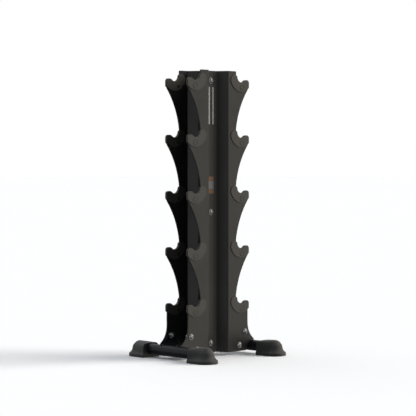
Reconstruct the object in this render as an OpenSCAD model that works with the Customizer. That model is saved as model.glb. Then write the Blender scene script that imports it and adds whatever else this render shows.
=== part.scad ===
// Vertical dumbbell rack: two bent steel uprights bolted back to back, hooked wings
// with moulded saddles, two base tubes and four rubber feet.
// X is left to right, the front faces -Y, Z is up, and Z = 0 is the floor.

/* [Tiers] */
// Number of dumbbell tiers
tiers = 5; // [2:1:6]
// Height from one seat to the next
tier_pitch = 210; // [175:1:270]
// Height of the lowest seat above the floor
first_seat_z = 195.1; // [185:0.1:260]

/* [Uprights] */
// Thickness of the bent steel sheet
sheet_t = 4.8; // [3:0.1:6]
// Distance between the middles of the front and the rear wings
wing_gap = 112.6; // [90:0.1:150]
// Half width of the flat web in the middle, to its fold line
flat_half = 29; // [24:0.5:36]
// Half width to the fold line where a wing starts
root_half = 52; // [44:0.5:64]
// Distance between the middles of the two flat webs
web_gap = 32.9; // [18:0.1:50]
// Radius of the folds at the middle of the sheet
bend_r = 8; // [5:0.5:10]
// Height of the uprights above the top seat
top_margin = 41; // [32:1:80]
// Gap between the uprights and the floor
floor_gap = 13; // [8:0.5:16]
// Radius of the top corners
top_corner_r = 5; // [2:0.5:10]
// How far the sweep between two hooks ends inside the neck beside a seat
waist_in = 3.3; // [2:0.1:8]
// How far below a seat the sweep that comes down to it is upright
waist_drop = 11.3; // [5:0.1:20]

/* [Hooks and saddles] */
// Distance from the middle of the rack to the middle of a seat
seat_x = 121.2; // [112:0.1:145]
// Radius of the seat that a dumbbell handle rests in
seat_r = 21.7; // [18:0.1:26.1]
// Distance from the middle of a seat to the tip of its hook
hook_reach = 42; // [38:0.5:50]
// Height of the hook's tip above the bottom of the seat
hook_lip = 9.4; // [7:0.1:13]
// Radius of the hook's outer corner
tip_r = 11; // [8:0.5:12]
// Radius that blends the seat into the hook's top
blend_r = 17; // [12:0.5:22]
// Depth of the hook's vertical edge below the bottom of the seat
hook_depth = 27.2; // [24:0.1:34]
// Thickness of the saddle over the edge of the sheet
saddle_lip = 4.6; // [3:0.1:6]
// Thickness of the saddle on each face of the sheet
saddle_cheek = 2.2; // [1.6:0.1:4]
// Clearance between a saddle and the sheet
saddle_fit = 0.15; // [0.1:0.05:0.4]
// Width of the saddle's crescent, from the seat to its outer edge
crescent_w = 37; // [31:0.1:45]
// Radius of the saddle's rounded inner end
crescent_end_r = 20.3; // [18:0.1:22]
// Direction from the seat's middle to the rounded inner end, in degrees
crescent_end_angle = 202; // [198:1:206]
// Distance from the seat's middle line to the saddle's screw, inwards
screw_in = 19; // [15:0.5:24]
// Distance of the saddle's screw below the bottom of the seat
screw_drop = 19; // [15:0.5:23]
// Diameter of the saddle's screw
screw_d = 5; // [4:0.5:6]
// Diameter of the screw's countersunk head
screw_head_d = 9.4; // [8:0.1:12]
// Radius of the round moulding mark on the saddle's outer face
mark_r = 10; // [6:0.5:12]
// Distance from the seat's middle line to the moulding mark, outwards
mark_out = 3; // [0:0.5:6]
// Distance of the moulding mark below the bottom of the seat
mark_drop = 20; // [16:0.5:24]
// Height of the round moulding mark
mark_h = 0.5; // [0.3:0.1:1]

/* [Base] */
// Diameter of a base tube
tube_d = 41.3; // [31:0.1:50]
// Wall of a base tube
tube_wall = 2.5; // [1.5:0.1:4]
// Distance from the middle of the rack to a base tube
tube_x = 183.1; // [178:0.1:225]
// How far a base tube hangs below the lower edge of the uprights
tube_drop = 3.2; // [0:0.1:5]
// How far a base tube runs past the middle of a foot's round end
tube_past = 7; // [0:1:9]
// Radius of the flare that widens the uprights at the base
flare_r = 79.4; // [65:0.1:95]
// How far the tip of that flare reaches past the middle of a base tube
flare_past = 9.9; // [5:0.1:12]
// Height of the flare's tip above the tube under it
flare_tip = 7; // [4:0.5:14]
// Radius of the uprights' lower corners
lower_corner_r = 12; // [6:0.5:20]
// Gap between an upright and the tube it is cut around
tube_gap = 0.5; // [0.3:0.1:1.5]
// Thickness of the gusset plates welded to the tubes
gusset_t = 5; // [4:0.5:8]
// Radius of a gusset's corners around its bolts
gusset_r = 13; // [11.5:0.5:16]

/* [Feet] */
// Half width of a foot at the floor
foot_half = 43; // [35:0.5:52]
// Distance from the middle of the rack to a foot's inner face
foot_in = 116.8; // [95:0.1:125]
// Distance from the middle of the rack to a foot's outer end
foot_out = 219.3; // [180:0.1:265]
// Thickness of the rubber around the tube
foot_wall = 8; // [6:0.5:11]
// Height of the foot's upright rim
foot_rim_h = 11.5; // [7:0.5:14]
// Radius of the foot's hollow sides
foot_side_r = 40; // [32:1:50]
// How deep the hollow sides cut into the foot's round body
foot_side_in = 1; // [0.5:0.1:2]
// Half width of the foot's body at its squared inner face
foot_square_half = 40; // [34:0.5:42.5]
// Radius of the upper corners of that face
foot_square_r = 16; // [8:1:24]
// Drop of the foot's back from its outer dome to its inner face
foot_back_drop = 5; // [1:0.5:6]
// Clearance between a foot and its tube
foot_fit = 0.15; // [0.05:0.05:0.5]

/* [Fasteners] */
// Diameter of the bolts
bolt_d = 10; // [8:1:12]
// Clearance of the bolt holes, on the diameter
bolt_fit = 1; // [0.5:0.1:2]
// Diameter of the round bolt heads
head_d = 20; // [17:0.5:22]
// Height of the round bolt heads
head_h = 6; // [4.5:0.5:8]
// Diameter of the washers
washer_d = 22.5; // [20:0.5:25]
// Thickness of the washers
washer_t = 2; // [1:0.1:3]
// Nut size across its flats
nut_af = 16; // [13:0.5:18]
// Height of a nut without its collar
nut_h = 8; // [6:0.5:10]
// Distance from the ends of the uprights to the outer column bolts
column_bolt_end = 37; // [30:1:60]
// Outer diameter of the spacers between the uprights
spacer_d = 25; // [20:0.5:28]
// Distances of the bolts through a wing and its gusset, inwards from the tube's middle
wing_bolt_in = [39.1, 70.1]; // [36:0.1:85]
// Distances of those bolts above the bottom edge of the uprights
wing_bolt_rise = [73, 23]; // [17:1:82]

/* [Stickers] */
// Width of the stickers
sticker_w = 27; // [20:0.5:32]
// Thickness of the stickers
sticker_t = 0.3; // [0.2:0.1:0.6]
// Height of the plain label
label_h = 64; // [40:1:80]
// Distance from the middle column bolt up to the middle of the label
label_rise = 101.5; // [55:0.5:150]
// Length of the pair of stripes
stripe_len = 140; // [80:1:180]
// Width of one stripe
stripe_w = 7; // [4:0.5:10]
// Distance from the top column bolt down to the stripes
stripe_drop = 24; // [15:1:40]

/* [Hidden] */
$fn = 64;
wing_y = wing_gap / 2;
flat_y = web_gap / 2;
// Angle between a sloped web and a wing
web_angle = atan((wing_y - flat_y) / (root_half - flat_half));
wing_out_y = wing_y + sheet_t / 2;
wing_in_y = wing_y - sheet_t / 2;
flat_out_y = flat_y + sheet_t / 2;
flat_in_y = flat_y - sheet_t / 2;
top_z = first_seat_z + (tiers - 1) * tier_pitch + top_margin;
hook_half = seat_x + hook_reach;
plate_half = hook_half - saddle_lip;
neck_half = seat_x - seat_r - saddle_lip;
waist_half = neck_half - waist_in;
// The seat's middle and the hook's arcs, measured from the bottom of the seat
blend_z = hook_lip - blend_r;
blend_x = seat_x + sqrt(pow(seat_r + blend_r, 2) - pow(seat_r - blend_z, 2));
tip_x = hook_half - tip_r;
tip_z = hook_lip - tip_r;
crescent_r = seat_r + crescent_w;
// The sweep between two hooks, from the hook's lower corner down to the waist
sweep_drop = tier_pitch + waist_drop;
sweep_r = (pow(plate_half - waist_half, 2) + pow(sweep_drop - hook_depth, 2))
          / (2 * (plate_half - waist_half));
tube_r = tube_d / 2;
tube_z = floor_gap + tube_r - tube_drop;
flare_x = plate_half + flare_r;
flare_half = tube_x + flare_past;
flare_tip_z = tube_z + sqrt(pow(tube_r, 2) - pow(flare_past, 2)) + flare_tip;
flare_z = flare_tip_z + sqrt(pow(flare_r, 2) - pow(flare_x - flare_half, 2));
dome_r = tube_r + foot_wall;
// Length of the foot's body along its squared inner end
foot_square_flat = 2;
foot_end_y = foot_out - foot_half;
tube_half_len = foot_end_y + tube_past;
hole_d = bolt_d + bolt_fit;
wing_bolts_at = [for (k = [0:len(wing_bolt_in) - 1])
    [tube_x - wing_bolt_in[k], floor_gap + wing_bolt_rise[k]]];
spacer_len = 2 * flat_in_y;
column_bolt_z = [for (k = [0:2])
    floor_gap + column_bolt_end + k * (top_z - floor_gap - 2 * column_bolt_end) / 2];
// Straight steps that a fold of the sheet is made of
fold_steps = 12;
label_z = column_bolt_z[1] + label_rise;
stripe_z = column_bolt_z[2] - stripe_drop - stripe_len / 2;
// Height of the upright rim of a bolt's head, below its dome
head_rim = 1;
// Size of a bolt's hexagon socket across its corners, and its depth
socket_d = 0.68 * bolt_d;
socket_deep = 3.5;
// How far a bolt's end stands out of its nut
bolt_tail = 3;
// Height of a nut's locking collar, and its step in from the flats on each side
nut_collar = 2;
collar_step = 1;
// Slack of the bolts in their nuts and washers, on the diameter
nut_slack = 0.2;
washer_slack = 0.4;
// Depth of the screw's countersink
screw_head_h = 1.9;
// A gusset's corner beside its tube: radius, and depth below the tube's middle
gusset_side_r = 6;
gusset_side_drop = 4;
// Its corner on top of the tube: radius, and distances inwards and below the tube's top
gusset_top_r = 5;
gusset_top_in = 3;
gusset_top_sunk = 2;
// Radius of the stickers' corners
stripe_corner_r = 2;
label_corner_r = 2.5;
// Colours of the finishes
UPRIGHT_PAINT = [0.2, 0.195, 0.18];
BASE_PAINT = [0.13, 0.14, 0.17];
RUBBER = [0.15, 0.16, 0.18];
SADDLE_PLASTIC = [0.27, 0.26, 0.24];
BLACK_STEEL = [0.08, 0.08, 0.08];
ZINC = [0.8, 0.8, 0.8];
STRIPE_GREY = [0.5, 0.5, 0.5];
LABEL_ORANGE = [0.85, 0.5, 0.25];
// Size of the screw's hexagon socket across its corners, and its depth
screw_socket_d = 0.6 * screw_d;
screw_socket_deep = 1.4;
// How far cutters overshoot
over = 1;
SIDES = ["left", "right"];
ENDS = ["front", "rear"];
function sx(side) = side == "left" ? -1 : 1;
function sy(end) = end == "front" ? -1 : 1;
function seat_z(tier) = first_seat_z + (tier - 1) * tier_pitch;
function saddle_name(tier, end, side) = str("saddle_", tier, "_", end, "_", side);
function arm_name(what, end, side) = str(what, "_", end, "_", side);

// ---------- helpers ----------

// Extrudes a shape drawn in X and Z from y0 to y1.
module along_y(y0, y1) {
    translate([0, y1, 0]) rotate([90, 0, 0]) linear_extrude(y1 - y0) children();
}

// Puts something built for the right rear quarter into another quarter.
module quarter(x_sign, y_sign) {
    mirror([x_sign < 0 ? 1 : 0, 0, 0]) mirror([0, y_sign < 0 ? 1 : 0, 0]) children();
}

// Stands something built along +Z on the point p, pointing along +Y.
module facing_y(p) {
    translate(p) rotate([-90, 0, 0]) children();
}

module box_2d(x0, y0, x1, y1) {
    translate([x0, y0]) square([x1 - x0, y1 - y0]);
}

// The part of a disc between two directions less than a third of a turn apart.
module sector_2d(centre, r, a0, a1) {
    far = 2 * r;
    intersection() {
        translate(centre) circle(r);
        polygon([centre, for (a = [a0, (a0 + a1) / 2, a1]) centre + far * [cos(a), sin(a)]]);
    }
}

// The points where the outer tangent of two corner discs [x, y, r] touches them.
function corner_points(a, b) =
    let (d = [b[0] - a[0], b[1] - a[1]], far = norm(d), u = d / far,
         k = (a[2] - b[2]) / far,
         n = k * u + sqrt(1 - k * k) * [u[1], -u[0]])
    [[a[0], a[1]] + a[2] * n, [b[0], b[1]] + b[2] * n];

// A plate with round corners; corners are [x, y, r], anticlockwise.
module rounded_plate_2d(corners) {
    last = len(corners);
    polygon([for (i = [0:last - 1]) each corner_points(corners[i], corners[(i + 1) % last])]);
    for (c = corners) translate([c[0], c[1]]) circle(c[2]);
}

// ---------- uprights ----------

// Points along a fold, seen from above, on its face at radius r.
function fold_points(centre, r, a0, a1) =
    [for (k = [0:fold_steps]) let (a = a0 + (a1 - a0) * k / fold_steps)
        centre + r * [cos(a), sin(a)]];

// Points along one face of the right half of the rear upright, from the middle outwards;
// the face lies side * sheet_t / 2 from the middle of the sheet.
function face_points(side) =
    let (setback = bend_r * tan(web_angle / 2), off = side * sheet_t / 2)
    concat(
        fold_points([flat_half - setback, flat_y + bend_r], bend_r - off,
                    -90, web_angle - 90),
        fold_points([root_half + setback, wing_y - bend_r], bend_r + off,
                    90 + web_angle, 90),
        [[flare_half + over, wing_y + off]]);

function reversed(points) = [for (i = [len(points) - 1:-1:0]) points[i]];
function mirrored(points) = [for (p = points) [-p[0], p[1]]];

// The bent sheet of the rear upright, seen from above.
module section_2d() {
    inner = face_points(-1);
    outer = face_points(1);
    polygon(concat(mirrored(reversed(inner)), inner, reversed(outer), mirrored(outer)));
}

// The hook outside its seat, from the bottom of the seat; inset takes off the saddle's lip.
module hook_2d(inset, depth) {
    difference() {
        polygon([[seat_x, -depth], [blend_x, -depth], [blend_x, blend_z], [seat_x, seat_r]]);
        translate([seat_x, seat_r]) circle(seat_r + inset);
    }
    translate([blend_x, blend_z]) circle(blend_r - inset);
    if (tip_x > blend_x) box_2d(blend_x, -depth, tip_x, hook_lip - inset);
    box_2d(blend_x, -depth, hook_half - inset, tip_z);
    translate([tip_x, tip_z]) circle(tip_r - inset);
}

// The sheet between its middle and the seat, up to the height of the seat's middle.
module shoulder_2d(inset, depth) {
    difference() {
        box_2d(0, -depth, seat_x, seat_r);
        translate([seat_x, seat_r]) circle(seat_r + inset);
    }
}

// Right half of an upright's outline, seen from the front.
module outline_2d() {
    lowest = seat_z(1) - floor_gap - lower_corner_r;
    difference() {
        union() {
            box_2d(0, floor_gap, neck_half, top_z - top_corner_r);
            box_2d(0, top_z - 2 * top_corner_r, neck_half - top_corner_r, top_z);
            translate([neck_half - top_corner_r, top_z - top_corner_r]) circle(top_corner_r);
            for (tier = [2:tiers]) translate([0, seat_z(tier)]) difference() {
                union() {
                    shoulder_2d(saddle_lip, tier_pitch - seat_r);
                    hook_2d(saddle_lip, tier_pitch - seat_r);
                }
                translate([waist_half + sweep_r, -sweep_drop]) circle(sweep_r, $fn = 96);
            }
            translate([0, seat_z(1)]) {
                shoulder_2d(saddle_lip, lowest);
                hook_2d(saddle_lip, lowest);
            }
            box_2d(0, floor_gap, plate_half - lower_corner_r, floor_gap + 2 * lower_corner_r);
            translate([plate_half - lower_corner_r, floor_gap + lower_corner_r])
                circle(lower_corner_r);
            difference() {
                box_2d(plate_half - over, tube_z, flare_half, flare_z);
                translate([flare_x, flare_z]) circle(flare_r);
            }
        }
        translate([tube_x, tube_z]) circle(tube_r + tube_gap);
    }
}

// The rear upright; the front one is its mirror image.
module upright() {
    difference() {
        intersection() {
            linear_extrude(top_z + over) section_2d();
            along_y(0, wing_out_y + over) {
                outline_2d();
                mirror([1, 0, 0]) outline_2d();
            }
        }
        for (z = column_bolt_z)
            facing_y([0, flat_in_y - over, z]) cylinder(d = hole_d, h = sheet_t + 2 * over);
        for (side = [0, 1]) mirror([side, 0, 0]) {
            for (p = wing_bolts_at)
                facing_y([p[0], wing_in_y - over, p[1]])
                    cylinder(d = hole_d, h = sheet_t + 2 * over);
            for (tier = [1:tiers])
                facing_y([seat_x - screw_in, wing_in_y - over, seat_z(tier) - screw_drop])
                    cylinder(d = screw_d + 2 * saddle_fit, h = sheet_t + 2 * over);
        }
    }
}

module rear_upright() {
    color(UPRIGHT_PAINT) upright();
}

module front_upright() {
    color(UPRIGHT_PAINT) mirror([0, 1, 0]) upright();
}

// A sleeve between the two uprights, around a column bolt.
module spacer(z) {
    color(UPRIGHT_PAINT) facing_y([0, -flat_in_y, z]) difference() {
        cylinder(d = spacer_d, h = spacer_len);
        translate([0, 0, -over]) cylinder(d = hole_d, h = spacer_len + 2 * over);
    }
}

// ---------- saddles ----------

// The saddle seen from the front, from the bottom of its seat.
module saddle_2d() {
    middle = [seat_x, seat_r];
    end = middle + (crescent_r - crescent_end_r)
          * [cos(crescent_end_angle), sin(crescent_end_angle)];
    difference() {
        union() {
            sector_2d(middle, crescent_r, crescent_end_angle, 270);
            translate(end) circle(crescent_end_r);
            intersection() {
                translate(middle) circle(crescent_r);
                hook_2d(0, crescent_r);
            }
        }
        translate(middle) circle(seat_r);
    }
}

// The space that the sheet takes inside a saddle.
module saddle_slot_2d() {
    inset = saddle_lip - saddle_fit;
    deep = crescent_r + over;
    shoulder_2d(inset, deep);
    box_2d(0, -deep, neck_half + saddle_fit, deep);
    hook_2d(inset, deep);
}

// A saddle in the right rear quarter, with its screw hole on the inner face.
module saddle(tier) {
    slot_in = wing_in_y - saddle_fit;
    slot_out = wing_out_y + saddle_fit;
    inner = slot_in - saddle_cheek;
    outer = slot_out + saddle_cheek;
    mark = [seat_x + mark_out, -mark_drop];
    color(SADDLE_PLASTIC) translate([0, 0, seat_z(tier)]) difference() {
        union() {
            along_y(inner, outer) saddle_2d();
            along_y(outer - over, outer + mark_h) translate(mark) circle(mark_r);
        }
        along_y(slot_in, slot_out) saddle_slot_2d();
        facing_y([seat_x - screw_in, inner - over, -screw_drop])
            cylinder(d = screw_d + 2 * saddle_fit, h = saddle_cheek + 2 * over);
        facing_y([seat_x - screw_in, inner, -screw_drop])
            cylinder(d1 = screw_head_d + 2 * saddle_fit, d2 = screw_d + 2 * saddle_fit,
                     h = screw_head_h);
    }
}

// The countersunk screws of the saddles on the right rear wing.
module saddle_screws() {
    inner = wing_in_y - saddle_fit - saddle_cheek;
    color(BLACK_STEEL) for (tier = [1:tiers])
        facing_y([seat_x - screw_in, inner, seat_z(tier) - screw_drop]) difference() {
            union() {
                cylinder(d1 = screw_head_d, d2 = screw_d, h = screw_head_h);
                cylinder(d = screw_d, h = saddle_cheek + saddle_fit + sheet_t);
            }
            translate([0, 0, -over])
                cylinder(d = screw_socket_d, h = over + screw_socket_deep, $fn = 6);
        }
}

// ---------- base ----------

module base_tube(side) {
    color(BASE_PAINT) facing_y([sx(side) * tube_x, -tube_half_len, tube_z])
        difference() {
            cylinder(r = tube_r, h = 2 * tube_half_len);
            translate([0, 0, -over])
                cylinder(r = tube_r - tube_wall, h = 2 * (tube_half_len + over));
        }
}

// The plate welded to a base tube behind a wing, in the right rear quarter.
module gusset() {
    side_corner = [tube_x - tube_r, tube_z - gusset_side_drop, gusset_side_r];
    top_corner = [tube_x - gusset_top_in, tube_z + tube_r - gusset_top_sunk, gusset_top_r];
    color(BASE_PAINT) along_y(wing_in_y - gusset_t, wing_in_y) difference() {
        rounded_plate_2d([concat(wing_bolts_at[1], gusset_r), side_corner,
                          top_corner, concat(wing_bolts_at[0], gusset_r)]);
        translate([tube_x, tube_z]) circle(tube_r);
        for (p = wing_bolts_at) translate(p) circle(d = hole_d);
    }
}

// Half of the cross-section of the foot's flared skirt, from the tube's upright plane outwards.
module foot_skirt_2d() {
    dome = [0, tube_z];
    rim = [foot_half, foot_rim_h];
    // Centre of the hollow side: it passes through the rim and cuts into the dome
    gap = norm(rim - dome);
    d1 = dome_r + foot_side_r - foot_side_in;
    along = (d1 * d1 - foot_side_r * foot_side_r + gap * gap) / (2 * gap);
    across = sqrt(d1 * d1 - along * along);
    u = (rim - dome) / gap;
    side = dome + along * u + across * [-u[1], u[0]];
    touch = dome + dome_r * (side - dome) / d1;
    difference() {
        polygon([[0, 0], [foot_half, 0], rim, side, touch, [0, touch[1]]]);
        translate(side) circle(foot_side_r, $fn = 96);
    }
}

// The foot's body: squared at its inner face, a round dome at its outer end.
module foot_body() {
    corner_z = tube_z + dome_r - foot_back_drop - foot_square_r;
    hull() {
        along_y(foot_in, foot_in + foot_square_flat) {
            box_2d(-foot_square_half, 0, foot_square_half, corner_z);
            for (s = [-1, 1])
                translate([s * (foot_square_half - foot_square_r), corner_z])
                    circle(foot_square_r, $fn = 40);
        }
        translate([0, foot_end_y, tube_z]) {
            sphere(dome_r, $fn = 40);
            translate([0, 0, -tube_z]) cylinder(r = dome_r, h = tube_z, $fn = 40);
        }
    }
}

// A rubber boot over the end of a base tube, in the right rear quarter.
module foot() {
    color(RUBBER) difference() {
        translate([tube_x, 0, 0]) {
            foot_body();
            translate([0, foot_end_y, 0]) rotate_extrude(angle = 180) foot_skirt_2d();
            along_y(foot_in, foot_end_y) {
                foot_skirt_2d();
                mirror([1, 0, 0]) foot_skirt_2d();
            }
        }
        facing_y([tube_x, foot_in - over, tube_z])
            cylinder(r = tube_r + foot_fit, h = tube_half_len + foot_fit - foot_in + over);
    }
}

// ---------- fasteners ----------

// A round-headed bolt standing on the plane Z = 0, its shank pointing down.
module bolt(grip) {
    cap_h = head_h - head_rim;
    cap_r = (pow(cap_h, 2) + pow(head_d / 2, 2)) / (2 * cap_h);
    difference() {
        union() {
            rotate_extrude() intersection() {
                translate([0, head_h - cap_r]) circle(cap_r, $fn = 96);
                box_2d(0, 0, head_d / 2, head_h);
            }
            translate([0, 0, -grip]) cylinder(d = bolt_d, h = grip + head_rim);
        }
        translate([0, 0, head_h - socket_deep])
            cylinder(d = socket_d, h = socket_deep + over, $fn = 6);
    }
}

// A hexagon nut with a locking collar, from the plane Z = 0 downwards.
module nut() {
    translate([0, 0, -nut_h]) difference() {
        union() {
            cylinder(d = nut_af / cos(30), h = nut_h, $fn = 6);
            translate([0, 0, -nut_collar])
                cylinder(d = nut_af - 2 * collar_step, h = nut_collar + over);
        }
        translate([0, 0, -nut_collar - over])
            cylinder(d = bolt_d + nut_slack, h = nut_h + nut_collar + 2 * over);
    }
}

module washer() {
    difference() {
        cylinder(d = washer_d, h = washer_t);
        translate([0, 0, -over]) cylinder(d = bolt_d + washer_slack, h = washer_t + 2 * over);
    }
}

// Places something on each wing bolt, on a plane facing away from the rack's middle.
module at_wing_bolts(y) {
    for (x_sign = [-1, 1]) for (y_sign = [-1, 1]) quarter(x_sign, y_sign)
        for (p = wing_bolts_at) facing_y([p[0], y, p[1]]) children();
}

// Places something on each column bolt, on a plane facing the front (-1) or the rear (1).
module at_column_bolts(y_sign) {
    for (z = column_bolt_z) quarter(1, y_sign) facing_y([0, flat_out_y, z]) children();
}

module wing_bolts() {
    color(ZINC) at_wing_bolts(wing_out_y + washer_t)
        bolt(sheet_t + gusset_t + 2 * washer_t + nut_h + nut_collar + bolt_tail);
}

module wing_nuts() {
    color(ZINC) at_wing_bolts(wing_in_y - gusset_t - washer_t) nut();
}

module column_bolts() {
    color(ZINC) at_column_bolts(-1) translate([0, 0, washer_t])
        bolt(2 * flat_out_y + 2 * washer_t + nut_h + nut_collar + bolt_tail);
}

module column_nuts() {
    color(ZINC) at_column_bolts(1) translate([0, 0, washer_t])
        mirror([0, 0, 1]) nut();
}

module washers() {
    color(ZINC) {
        at_wing_bolts(wing_out_y) washer();
        at_wing_bolts(wing_in_y - gusset_t - washer_t) washer();
        at_column_bolts(-1) washer();
        at_column_bolts(1) washer();
    }
}

// ---------- stickers ----------

// A thin patch with round corners on the front web, centred on height z.
module patch(x, z, w, h, r) {
    along_y(-flat_out_y - sticker_t, -flat_out_y)
        rounded_plate_2d([for (c = [[-1, -1], [1, -1], [1, 1], [-1, 1]])
            [x + c[0] * (w / 2 - r), z + c[1] * (h / 2 - r), r]]);
}

module stripe_sticker() {
    color(STRIPE_GREY) for (x_sign = [-1, 1])
        patch(x_sign * (sticker_w - stripe_w) / 2, stripe_z, stripe_w, stripe_len, stripe_corner_r);
}

module plain_label() {
    color(LABEL_ORANGE) patch(0, label_z, sticker_w, label_h, label_corner_r);
}

// ---------- assembly ----------

front_upright();
rear_upright();
spacer(column_bolt_z[0]);  // spacer_bottom
spacer(column_bolt_z[1]);  // spacer_middle
spacer(column_bolt_z[2]);  // spacer_top
for (side = SIDES) {
    base_tube(side);
}
for (end = ENDS) for (side = SIDES) {
    quarter(sx(side), sy(end)) gusset();
    quarter(sx(side), sy(end)) foot();
    quarter(sx(side), sy(end)) saddle_screws();
    for (tier = [1:tiers])
        quarter(sx(side), sy(end)) saddle(tier);
}
column_bolts();
column_nuts();
wing_bolts();
wing_nuts();
washers();
stripe_sticker();
plain_label();
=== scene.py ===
"""Looks of a vertical dumbbell rack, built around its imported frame.

Two bent steel uprights stand back to back on two base tubes with rubber feet, and moulded
saddles sit in their hooks. X is left to right, the front faces -Y, Z is up and the floor is 0.
"""

import logging
import math
from dataclasses import dataclass, field
from enum import Enum

import bmesh
import bpy
import numpy as np
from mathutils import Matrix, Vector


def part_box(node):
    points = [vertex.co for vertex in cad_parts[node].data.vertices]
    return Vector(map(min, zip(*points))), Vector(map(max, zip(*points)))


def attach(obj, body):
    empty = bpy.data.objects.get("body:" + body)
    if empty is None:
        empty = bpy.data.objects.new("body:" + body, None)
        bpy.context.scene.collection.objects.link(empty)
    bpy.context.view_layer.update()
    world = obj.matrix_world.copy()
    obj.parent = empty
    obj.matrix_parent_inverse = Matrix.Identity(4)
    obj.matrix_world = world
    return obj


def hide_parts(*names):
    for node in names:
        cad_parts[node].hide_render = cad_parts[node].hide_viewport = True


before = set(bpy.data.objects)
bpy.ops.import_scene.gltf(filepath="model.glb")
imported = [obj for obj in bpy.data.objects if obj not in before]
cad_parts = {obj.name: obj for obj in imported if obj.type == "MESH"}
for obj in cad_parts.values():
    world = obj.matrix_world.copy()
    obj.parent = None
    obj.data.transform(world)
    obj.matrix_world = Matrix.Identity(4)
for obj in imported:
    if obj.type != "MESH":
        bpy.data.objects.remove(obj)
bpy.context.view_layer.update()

LOG = logging.getLogger("dumbbell_rack")
MM = 0.001
BODY = "root"
SIDES = ("left", "right")
ENDS = ("front", "rear")
MERGE_PIECE = 2e-6
MERGE_SOLID = 1e-6
MERGE_NODE = 5e-6
EMPTY_EDGE = 1e-7
FLAT_ANGLE = 0.3
SHARP_ANGLE = 32.0

Colour = tuple[float, float, float]
Link = bpy.types.NodeSocket
Piece = bpy.types.Object


class Slot(Enum):
    """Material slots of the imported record."""

    UPRIGHT_PAINT = "upright_paint"
    BASE_PAINT = "base_paint"
    RUBBER = "foot_rubber"
    SADDLE = "saddle_plastic"
    ZINC = "zinc_hardware"
    BLACK_SCREW = "black_screw"
    STRIPE = "stripe_film"
    LABEL = "label_film"


# ---------- surfaces ----------


@dataclass
class Surface:
    """Grids of points that together bound one closed piece.

    Each grid is an array of rows x columns x 3; neighbours in both directions share a quad.
    """

    points: list[np.ndarray] = field(default_factory=list)
    quads: list[np.ndarray] = field(default_factory=list)
    count: int = 0

    def add(self, grid: np.ndarray, closed_rows: bool = False, closed_columns: bool = False) -> None:
        """Adds a grid's points and the quads between them.

        Args:
            grid: Points, rows x columns x 3, in metres.
            closed_rows: Whether the last row joins the first.
            closed_columns: Whether the last column joins the first.
        """
        rows, columns = grid.shape[:2]
        index = np.arange(rows * columns).reshape(rows, columns) + self.count
        down = np.roll(index, -1, axis=0) if closed_rows else index[1:]
        index_rows = index if closed_rows else index[:-1]
        right = np.roll(index_rows, -1, axis=1)
        down_right = np.roll(down, -1, axis=1)
        last = columns if closed_columns else columns - 1
        corners = [index_rows, right, down_right, down]
        self.quads.append(np.stack([c[:, :last] for c in corners], axis=-1).reshape(-1, 4))
        self.points.append(grid.reshape(-1, 3))
        self.count += rows * columns

    def piece(self, name: str, sharp_angle: float = SHARP_ANGLE) -> Piece:
        """Makes the object: merges shared points, turns faces outwards, shades by angle.

        Args:
            name: Name of the piece.
            sharp_angle: Edges sharper than this many degrees keep a crease.

        Returns:
            The new mesh object, at the origin.
        """
        mesh = bpy.data.meshes.new(name)
        mesh.from_pydata(np.concatenate(self.points), [], np.concatenate(self.quads).tolist())
        work = bmesh.new()
        work.from_mesh(mesh)
        bmesh.ops.remove_doubles(work, verts=work.verts, dist=MERGE_PIECE)
        bmesh.ops.dissolve_degenerate(work, edges=work.edges, dist=EMPTY_EDGE)
        bmesh.ops.recalc_face_normals(work, faces=work.faces)
        work.to_mesh(mesh)
        work.free()
        mesh.polygons.foreach_set("use_smooth", np.ones(len(mesh.polygons), bool))
        mesh.set_sharp_from_angle(angle=math.radians(sharp_angle))
        made = bpy.data.objects.new(name, mesh)
        bpy.context.scene.collection.objects.link(made)
        return made


def rounded(corners: list[tuple[float, float, float]], steps: int = 4) -> np.ndarray:
    """Points of a chain of straight lines whose corners are rounded by arcs.

    A corner with radius r between directions p and q starts r * tan(turn / 2) before the corner
    and follows a circle that touches both lines.

    Args:
        corners: (x, y, radius) of each corner; the first and last are ends.
        steps: Straight steps on each arc.

    Returns:
        Points, n x 2.
    """
    out: list[np.ndarray] = [np.array(corners[0][:2])[None]]
    for before, here, after in zip(corners[:-2], corners[1:-1], corners[2:]):
        point = np.array(here[:2])
        to_before = np.array(before[:2]) - point
        to_after = np.array(after[:2]) - point
        to_before, to_after = to_before / np.linalg.norm(to_before), to_after / np.linalg.norm(to_after)
        inside = math.acos(float(np.clip(to_before @ to_after, -1, 1)))
        if here[2] <= 0 or abs(inside - math.pi) < 1e-4:
            out.append(point[None])
            continue
        cut = here[2] / math.tan(inside / 2)
        share = np.linspace(0, 1, steps + 1)[:, None]
        start, end = point + cut * to_before, point + cut * to_after
        middle = point + (to_before + to_after) / np.linalg.norm(to_before + to_after) \
            * here[2] / math.sin(inside / 2)
        spokes = (start - middle) * (1 - share) + (end - middle) * share
        out.append(middle + here[2] * spokes / np.linalg.norm(spokes, axis=1)[:, None])
    out.append(np.array(corners[-1][:2])[None])
    return np.concatenate(out)


def turned(profile: np.ndarray, steps: int = 48) -> np.ndarray:
    """Grid of a profile turned round the axis: (r cos t, r sin t, h).

    Args:
        profile: (radius, height) points, n x 2.
        steps: Columns around the axis.

    Returns:
        Points, n x steps x 3; its columns close.
    """
    angle = np.arange(steps) * 2 * math.pi / steps
    radius, height = profile[:, :1], profile[:, 1:]
    return np.stack([radius * np.cos(angle), radius * np.sin(angle), height + 0 * angle], axis=-1)


def hexagon(apothem: float, steps: int = 48) -> np.ndarray:
    """Radius of a regular hexagon in each direction: apothem / cos(t - nearest flat's middle).

    Args:
        apothem: Half of the size across flats.
        steps: Directions around the axis.

    Returns:
        One radius for each direction.
    """
    angle = np.arange(steps) * 2 * math.pi / steps
    sixth = math.pi / 3
    return apothem / np.cos((angle % sixth) - sixth / 2)


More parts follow.
